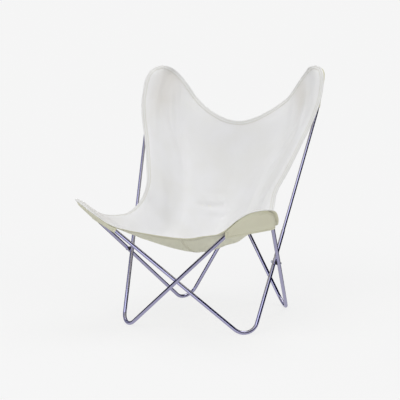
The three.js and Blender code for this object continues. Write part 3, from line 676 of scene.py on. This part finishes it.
def canvas_material(name, colour, shade):
    """Plain woven cotton: crossed threads with slubs, soft mottling between two tones, and
    painted shade in front of the pockets.
    """
    material, tree, shader = new_material(name)
    uv = new_node(tree, "UVMap", uv_map="cloth").outputs["UV"]
    warp, weft = (new_node(tree, "TexWave", WEAVE, {"Vector": uv}, bands_direction=direction)
                  for direction in ("X", "Y"))
    weave = new_node(tree, "Mix", {FACTOR: 0.5},
                     {NUMBER_A: warp.outputs["Fac"], NUMBER_B: weft.outputs["Fac"]},
                     data_type="FLOAT").outputs[NUMBER_OUT]
    mottling = ranged(tree, object_noise(tree, CLOUD), CLOUD_RANGE)
    tone = blended(tree, mottling, (*shade, 1), (*colour, 1))
    # Painted shade in front of the pockets darkens the mottled tone.
    pocket_shade_mask = new_node(tree, "Attribute", attribute_name="pocket_shade").outputs["Fac"]
    shade_painted_tone = new_node(tree, "Mix", {COLOUR_B: POCKET_SHADE_TINT}, {FACTOR: pocket_shade_mask, COLOUR_A: tone},
                      data_type="RGBA", blend_type="MULTIPLY").outputs[COLOUR_OUT]
    woven = new_node(tree, "Bump", WEAVE_BUMP, {"Height": weave}).outputs["Normal"]
    slubbed = new_node(tree, "Bump", SLUB_BUMP,
                       {"Height": object_noise(tree, SLUB), "Normal": woven}).outputs["Normal"]
    tree.links.new(shade_painted_tone, shader.inputs["Base Color"])
    tree.links.new(slubbed, shader.inputs["Normal"])
    fill(shader, CLOTH_FINISH)
    return material


def chrome_material():
    """Polished plating: a faint polishing haze in its gloss and its tone."""
    material, tree, shader = new_material("chrome")
    haze = object_noise(tree, CHROME_HAZE)
    tree.links.new(ranged(tree, haze, CHROME_ROUGHNESS), shader.inputs["Roughness"])
    first, second = ((*tone, 1) for tone in CHROME_TONES)
    tree.links.new(blended(tree, haze, first, second), shader.inputs["Base Color"])
    fill(shader, {"Metallic": 1})
    return material


def steel_material():
    material, tree, shader = new_material("bolt_steel")
    rough = ranged(tree, object_noise(tree, STEEL_GRAIN), STEEL_ROUGHNESS)
    tree.links.new(rough, shader.inputs["Roughness"])
    fill(shader, {"Base Color": STEEL_TONE, "Metallic": 1})
    return material


def plastic_material():
    material, tree, shader = new_material("spacer_plastic")
    grain = new_node(tree, "Bump", PLASTIC_BUMP, {"Height": object_noise(tree, PLASTIC_GRAIN)})
    tree.links.new(grain.outputs["Normal"], shader.inputs["Normal"])
    fill(shader, {"Base Color": PLASTIC_TONE, "Roughness": PLASTIC_ROUGHNESS})
    return material


CANVAS = canvas_material("canvas", (0.815, 0.815, 0.822), (0.79, 0.788, 0.778))
# The reverse, underside and hem-reverse tones are the same canvas with painted warm bounce
# light: yellowed where the cloth faces down to the floor.
REVERSE_PAINTED_BOUNCE = canvas_material("canvas_reverse_painted_bounce", (0.83, 0.82, 0.64), (0.79, 0.77, 0.60))
UNDERSIDE_PAINTED_BOUNCE = canvas_material("canvas_underside_painted_bounce", (0.89, 0.88, 0.71), (0.86, 0.85, 0.68))
HEM = canvas_material("canvas_hem", (0.79, 0.79, 0.785), (0.76, 0.76, 0.75))
HEM_REVERSE_PAINTED_BOUNCE = canvas_material("canvas_hem_reverse_painted_bounce", (0.80, 0.79, 0.60), (0.76, 0.74, 0.56))
# Painted shade in the stitch grooves of the hem, darker and warmer than the hem's face.
GROOVE_SHADE = canvas_material("canvas_groove_painted_shade", (0.70, 0.68, 0.61), (0.66, 0.64, 0.57))
# Real thread, its tone darkened to about the painted groove shade so it sits in the shaded
# stitch line.
SHADED_THREAD = canvas_material("thread", (0.73, 0.71, 0.65), (0.70, 0.68, 0.62))
CHROME = chrome_material()
STEEL = steel_material()
PLASTIC = plastic_material()


# Frame: the solids keep their shape and get rounded shading.

WELD_REACH = 0.00002
SHARP_EDGE = math.radians(35)
DRESS = {"lower_frame": CHROME, "back_hairpin": CHROME, "side_bolt": STEEL,
         "side_nut": STEEL, "side_spacer": PLASTIC}


def dress(piece, material):
    piece.data.materials.clear()
    piece.data.materials.append(material)
    piece.data.polygons.foreach_set("use_smooth", [True] * len(piece.data.polygons))
    piece.modifiers.new("weld", "WELD").merge_threshold = WELD_REACH
    piece.modifiers.new("split", "EDGE_SPLIT").split_angle = SHARP_EDGE
    # Long facets keep their own direction, so a straight tube mirrors straight lines.
    piece.modifiers.new("even", "WEIGHTED_NORMAL").mode = "FACE_AREA"


for name in nodes:
    for start, material in DRESS.items():
        if name.startswith(start):
            dress(nodes[name], material)


# Sling and pockets.

def soft_piece(piece, *stands_for):
    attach(piece, "root")
    if stands_for:
        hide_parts(*stands_for)
    return piece


def rim_of(grid):
    return np.concatenate([grid[0, :-1], grid[:-1, -1], grid[-1, :0:-1], grid[:0:-1, 0]])


def pulled_in(grid):
    rows, columns = grid.shape[:2]
    row = np.clip(np.arange(rows), INNER, rows - 1 - INNER)
    column = np.clip(np.arange(columns), INNER, columns - 1 - INNER)
    return grid[np.ix_(row, column)]


def seam_strip(whole):
    seam_line = whole[:, COLUMNS]
    across = whole[:, COLUMNS + 2] - whole[:, COLUMNS - 2]
    edge_line = seam_line - unit_rows(across) * SEAM_HALF
    return Strip(whole, edge_line[1:-1], seam_line[1:-1], False, NARROW_REACHES)


whole, halves = build_sling()
# The sling's underside and rim take the canvas with painted warm bounce light.
sling = sheet_mesh("sling", whole, [CANVAS, UNDERSIDE_PAINTED_BOUNCE])
# Painted shade where the pockets lie behind the sling, kept on its points for the canvas.
pocket_shade = painted_pocket_shade(whole, halves)
layer = sling.data.attributes.new("pocket_shade", "FLOAT", "POINT")
layer.data.foreach_set("value", np.concatenate([pocket_shade, pocket_shade]))
soft_piece(sling, "sling_half_left", "sling_half_right")

rim = Strip(whole, rim_of(whole), rim_of(pulled_in(whole)), True, HEM_REACHES)
hem = soft_piece(rim.band("sling_hem", HEM_FACE + HEM_BACK, HEM, HEM_REVERSE_PAINTED_BOUNCE, GROOVES))
middle = seam_strip(whole)
seam = soft_piece(middle.band("sling_seam", SEAM_PROFILE, CANVAS, REVERSE_PAINTED_BOUNCE))
threads = stitches("sling_stitches", [
    (strip, reach, height) for strip, reaches, height in (
        (rim, HEM_LINES, HEM_FACE_THREAD), (rim, HEM_LINES, HEM_BACK_THREAD),
        (middle, SEAM_LINES, SEAM_THREAD)) for reach in reaches])
soft_piece(threads)


def hem_table(pin, places, inner, inset):
    """Where a pocket is sewn on, and the cloth's normals there, by travel along a hairpin."""
    travel = np.array([abs(pin.travel_of(p)) for p in places])
    order = np.argsort(travel)
    travel, places, inner = travel[order], places[order], inner[order]
    places = places + unit_rows(inner - places) * inset
    ahead = np.gradient(places, axis=0)
    normals = unit_rows(np.cross(ahead, inner - places))
    normals *= np.where(normals @ pin.front < 0, -1.0, 1.0)[:, None]
    return lambda t: np.array([
        [np.interp(t, travel, rows[:, k]) for k in range(3)] for rows in (places, normals)])


def pocket_grid(pin, hems, depth, mouth_share, outer_leg):
    """From the hem on one leg behind both legs to the hem on the other, row by row."""
    wrap = pin.tube + WRAP_CLEARANCE + CLOTH / 2
    travels = [depth + (pin.arc - depth) * r / LEG_ROWS for r in range(LEG_ROWS)]
    travels += [pin.arc * r / ARC_ROWS for r in range(ARC_ROWS, -1, -1)]
    rows = []
    for travel in travels:
        runs = []
        for which, hem_at in enumerate(hems):
            leg = max(travel - pin.arc, 0)
            leg_travel = travel - (1 - outer_leg) * leg * which
            place, away = pin.station(leg_travel if which else -leg_travel)
            edge, normal = hem_at(leg_travel * mouth_share)
            edge = edge - unit(normal) * POCKET_DROP
            offset = edge - place
            d, c = offset @ away, offset @ pin.front
            last = math.atan2(c, d) - math.acos(min(wrap / math.hypot(d, c), 1))
            first = -math.pi / 2
            turn = max(last - first, LEAST_WRAP)
            run = [place + wrap * (away * math.cos(angle) + pin.front * math.sin(angle))
                   for angle in first + turn * np.arange(WRAP_STEPS + 1) / WRAP_STEPS]
            run += [run[-1] * (1 - s) + edge * s for s in WALL_SHARES]
            runs.append(run)
        span = [runs[0][0] * (1 - s) + runs[1][0] * s
                for s in np.arange(1, SPAN_STEPS) / SPAN_STEPS]
        rows.append(runs[0][::-1] + span + runs[1])
    return np.array(rows)


def edge_and_inner(grid, part):
    return {"side": (grid[:, -1], grid[:, -1 - INNER]), "front": (grid[0], grid[INNER]),
            "back": (grid[-1], grid[-1 - INNER])}[part]


def sew_pocket(end, side, half, pin, depth, mouth_share, outer_leg):
    word = "right" if side > 0 else "left"
    hems = [hem_table(pin, *edge_and_inner(half, part), POCKET_INSET[end, part])
            for part in (end, "side")]
    grid = pocket_grid(pin, hems, depth, mouth_share, outer_leg)
    # Pocket cloth and mouth hems take the canvas with painted warm bounce light.
    piece = sheet_mesh(f"{end}_pocket_cloth_{word}", grid, [REVERSE_PAINTED_BOUNCE, REVERSE_PAINTED_BOUNCE])
    soft_piece(piece, f"{end}_pocket_{word}")
    mouth = Strip(grid, grid[0], grid[INNER], False, NARROW_REACHES)
    mouth_hem = soft_piece(mouth.band(
        f"{end}_pocket_hem_{word}", MOUTH_PROFILE, HEM_REVERSE_PAINTED_BOUNCE, HEM_REVERSE_PAINTED_BOUNCE))
    row = soft_piece(stitches(f"{end}_pocket_stitches_{word}", [
        (mouth, MOUTH_LINE, MOUTH_THREAD), (mouth, MOUTH_LINE, -MOUTH_THREAD)]))


for side, (half, back, front) in halves.items():
    sew_pocket("back", side, half, back, BACK_POCKET_DEPTH, BACK_MOUTH, 1)
    front_depth = FRONT_POCKET_DEPTH + (side < 0) * LEFT_DEEPER
    sew_pocket("front", side, half, front, front_depth, FRONT_MOUTH[side], FRONT_OUTER_LEG)


# Camera at the photograph's place, its focal length counted in pixels of the photograph.

AZIMUTH, ELEVATION = math.radians(22.03), math.radians(7.08)
CAMERA_PLACE = (1.41354, -3.5434, 0.8945)
FOCAL_PIXELS, PHOTO_PIXELS, SENSOR_WIDTH = 1104.5, 400, 36
CLIP_END = 50

camera = bpy.data.objects.new("camera", bpy.data.cameras.new("camera"))
bpy.context.scene.collection.objects.link(camera)
camera.location = CAMERA_PLACE
forward = Vector((-math.sin(AZIMUTH) * math.cos(ELEVATION),
                  math.cos(AZIMUTH) * math.cos(ELEVATION), -math.sin(ELEVATION)))
camera.rotation_euler = forward.to_track_quat("-Z", "Y").to_euler()
camera.data.sensor_width = SENSOR_WIDTH
camera.data.lens = FOCAL_PIXELS / PHOTO_PIXELS * SENSOR_WIDTH
camera.data.clip_end = CLIP_END
bpy.context.scene.camera = camera
bpy.context.scene.view_settings.view_transform = "Standard"


# Floor, backdrop and soft studio light.

WHITE = (0.8, 0.8, 0.8, 1)
PALE = (0.915, 0.915, 0.915, 1)
FLOOR_NEAR = (0.965, 0.965, 0.965, 1)
FLOOR_HALF = 9000
FLOOR_SHARES = {"To Min": 0.8, "To Max": 1.0}
FLOOR_FADE = {"From Min": 0.7, "From Max": 2.2}
# What polished metal mirrors of the floor: pale below the chair, and the dark room past it.
MIRROR_PLACE = (0.1, -0.25, 0)
MIRROR_FADE = {"From Min": 0.5, "From Max": 0.85}
MIRROR_PALE = (0.56, 0.56, 0.6, 1)


def either_ray(tree, *names):
    path = new_node(tree, "LightPath")
    links = {socket: path.outputs[name] for socket, name in enumerate(names)}
    return new_node(tree, "Math", None, links, operation="MAXIMUM").outputs[0]


def mixed_shader(tree, factor, first, second):
    links = {0: factor, 1: first.outputs[0], 2: second.outputs[0]}
    return new_node(tree, "MixShader", None, links)


def smooth_fade(tree, place, limits):
    """From 0 near a place to 1 far from it."""
    reach = new_node(tree, "VectorMath", None, {0: place}, operation="LENGTH").outputs["Value"]
    return ranged(tree, reach, limits, interpolation_type="SMOOTHSTEP")


def floor_material():
    """A pale floor that keeps a faint shadow near the chair and runs into the backdrop."""
    material, tree, shader = new_material("floor")
    tree.nodes.remove(shader)
    place = new_node(tree, "TexCoord").outputs["Object"]
    off = new_node(tree, "VectorMath", {1: MIRROR_PLACE}, {0: place}, operation="SUBTRACT")
    far = smooth_fade(tree, place, FLOOR_FADE)
    glow = new_node(tree, "Emission", None, {"Color": blended(tree, far, FLOOR_NEAR, PALE)})
    seen = new_node(tree, "Math", None, {
        0: either_ray(tree, "Is Camera Ray", "Is Transmission Ray"),
        1: ranged(tree, far, FLOOR_SHARES)}, operation="MULTIPLY").outputs[0]
    lit = new_node(tree, "BsdfDiffuse", {"Color": WHITE})
    mirrored = mixed_shader(tree, smooth_fade(tree, off.outputs[0], MIRROR_FADE),
                            new_node(tree, "Emission", {"Color": MIRROR_PALE}),
                            new_node(tree, "BsdfTransparent"))
    glossy = new_node(tree, "LightPath").outputs["Is Glossy Ray"]
    both = mixed_shader(tree, glossy, mixed_shader(tree, seen, lit, glow), mirrored)
    tree.links.new(both.outputs[0], tree.nodes["Material Output"].inputs[0])
    return material


corners = [np.array(c) * FLOOR_HALF
           for c in ((-1, -1, 0), (1, -1, 0), (1, 1, 0), (-1, 1, 0))]
make_mesh("floor", corners, [(0, 1, 2, 3)], None, [floor_material()])


# What polished metal mirrors of the room: dark with a bright ceiling, a tall bright box in
# front with a gap across it, and a dim one at the left. Heights run from 0, straight down,
# to 1, straight up; bearings run once round from 0 to 1, and the camera stands at 0.31.
NAVY = (0.012, 0.013, 0.034)
GREY = (0.3, 0.31, 0.38)
BRIGHT = (0.6, 0.62, 0.72)
MIRRORED = [
    (0.0, NAVY), (0.84, NAVY), (0.92, (0.6, 0.6, 0.62)), (0.97, (0.9, 0.9, 0.92)),
    (1.0, (0.5, 0.5, 0.52)),
]
BOXES = [
    ([(0.155, 0), (0.175, BRIGHT), (0.37, BRIGHT), (0.39, 0)],
     [(0.27, 0), (0.31, 1), (0.56, 1), (0.62, 0), (0.765, 0), (0.785, 1), (0.88, 1), (0.9, 0)]),
    ([(0, GREY), (0.1, GREY), (0.13, 0), (0.9, 0), (0.94, GREY), (1, GREY)],
     [(0.62, 0), (0.65, 1), (0.74, 1), (0.77, 0)]),
]
BOX_STRENGTH = 1.9
ROOM_STRENGTH = 0.68


def ramp_of(tree, stops, value):
    """A colour ramp; a stop's level is a colour, or a number for a grey."""
    node = new_node(tree, "ValToRGB", None, {"Fac": value})
    ramp = node.color_ramp
    while len(ramp.elements) < len(stops):
        ramp.elements.new(0.5)
    for element, (at, level) in zip(ramp.elements, stops):
        element.position = at
        element.color = (*(level if isinstance(level, tuple) else (level,) * 3), 1)
    return node.outputs["Color"]


def mixed(tree, kind, first, second):
    return new_node(tree, "Mix", {FACTOR: 1}, {COLOUR_A: first, COLOUR_B: second},
                    data_type="RGBA", blend_type=kind).outputs[COLOUR_OUT]


def studio_world():
    world = bpy.data.worlds.new("world")
    bpy.context.scene.world = world
    world.use_nodes = True
    tree = world.node_tree
    light = tree.nodes["Background"]
    fill(light, {"Color": WHITE, "Strength": ROOM_STRENGTH})
    seen = new_node(tree, "Background", {"Color": PALE})
    axes = new_node(tree, "SeparateXYZ", None,
                    {0: new_node(tree, "TexCoord").outputs["Generated"]}).outputs
    height = ranged(tree, axes["Z"], {"From Min": -1})
    bearing = new_node(tree, "Math", None, {0: axes["Y"], 1: axes["X"]}, operation="ARCTAN2")
    turn = ranged(tree, bearing.outputs[0], {"From Min": -math.pi, "From Max": math.pi})
    lit = [mixed(tree, "MULTIPLY",
                 ramp_of(tree, bearings, turn), ramp_of(tree, heights, height))
           for bearings, heights in BOXES]
    boxes = new_node(tree, "Background", {"Strength": BOX_STRENGTH},
                     {"Color": mixed(tree, "ADD", *lit)})
    room = new_node(tree, "Background", None, {"Color": ramp_of(tree, MIRRORED, height)})
    mirrored = new_node(tree, "AddShader", None, {0: boxes.outputs[0], 1: room.outputs[0]})
    glossy = new_node(tree, "LightPath").outputs["Is Glossy Ray"]
    around = mixed_shader(tree, glossy, light, mirrored)
    whole_world = mixed_shader(
        tree, either_ray(tree, "Is Camera Ray", "Is Transmission Ray"), around, seen)
    tree.links.new(whole_world.outputs[0], tree.nodes["World Output"].inputs[0])


studio_world()

# Lamps: place, width and power; both look at the middle of the chair.
LAMP_TARGET = (0, 0, 0.5)
KEY = ((-0.6, -2.8, 3.0), 2.2, 40)
TOP = ((0.6, 0.4, 3.2), 2.4, 27)


def soft_lamp(name, place, width, power):
    lamp = bpy.data.objects.new(name, bpy.data.lights.new(name, "AREA"))
    bpy.context.scene.collection.objects.link(lamp)
    lamp.data.shape = "RECTANGLE"
    lamp.data.size = lamp.data.size_y = width
    lamp.data.energy = power
    lamp.location = place
    aim = Vector(LAMP_TARGET) - Vector(place)
    lamp.rotation_euler = aim.to_track_quat("-Z", "Y").to_euler()
    return lamp


soft_lamp("key", *KEY).visible_glossy = False
soft_lamp("top", *TOP)
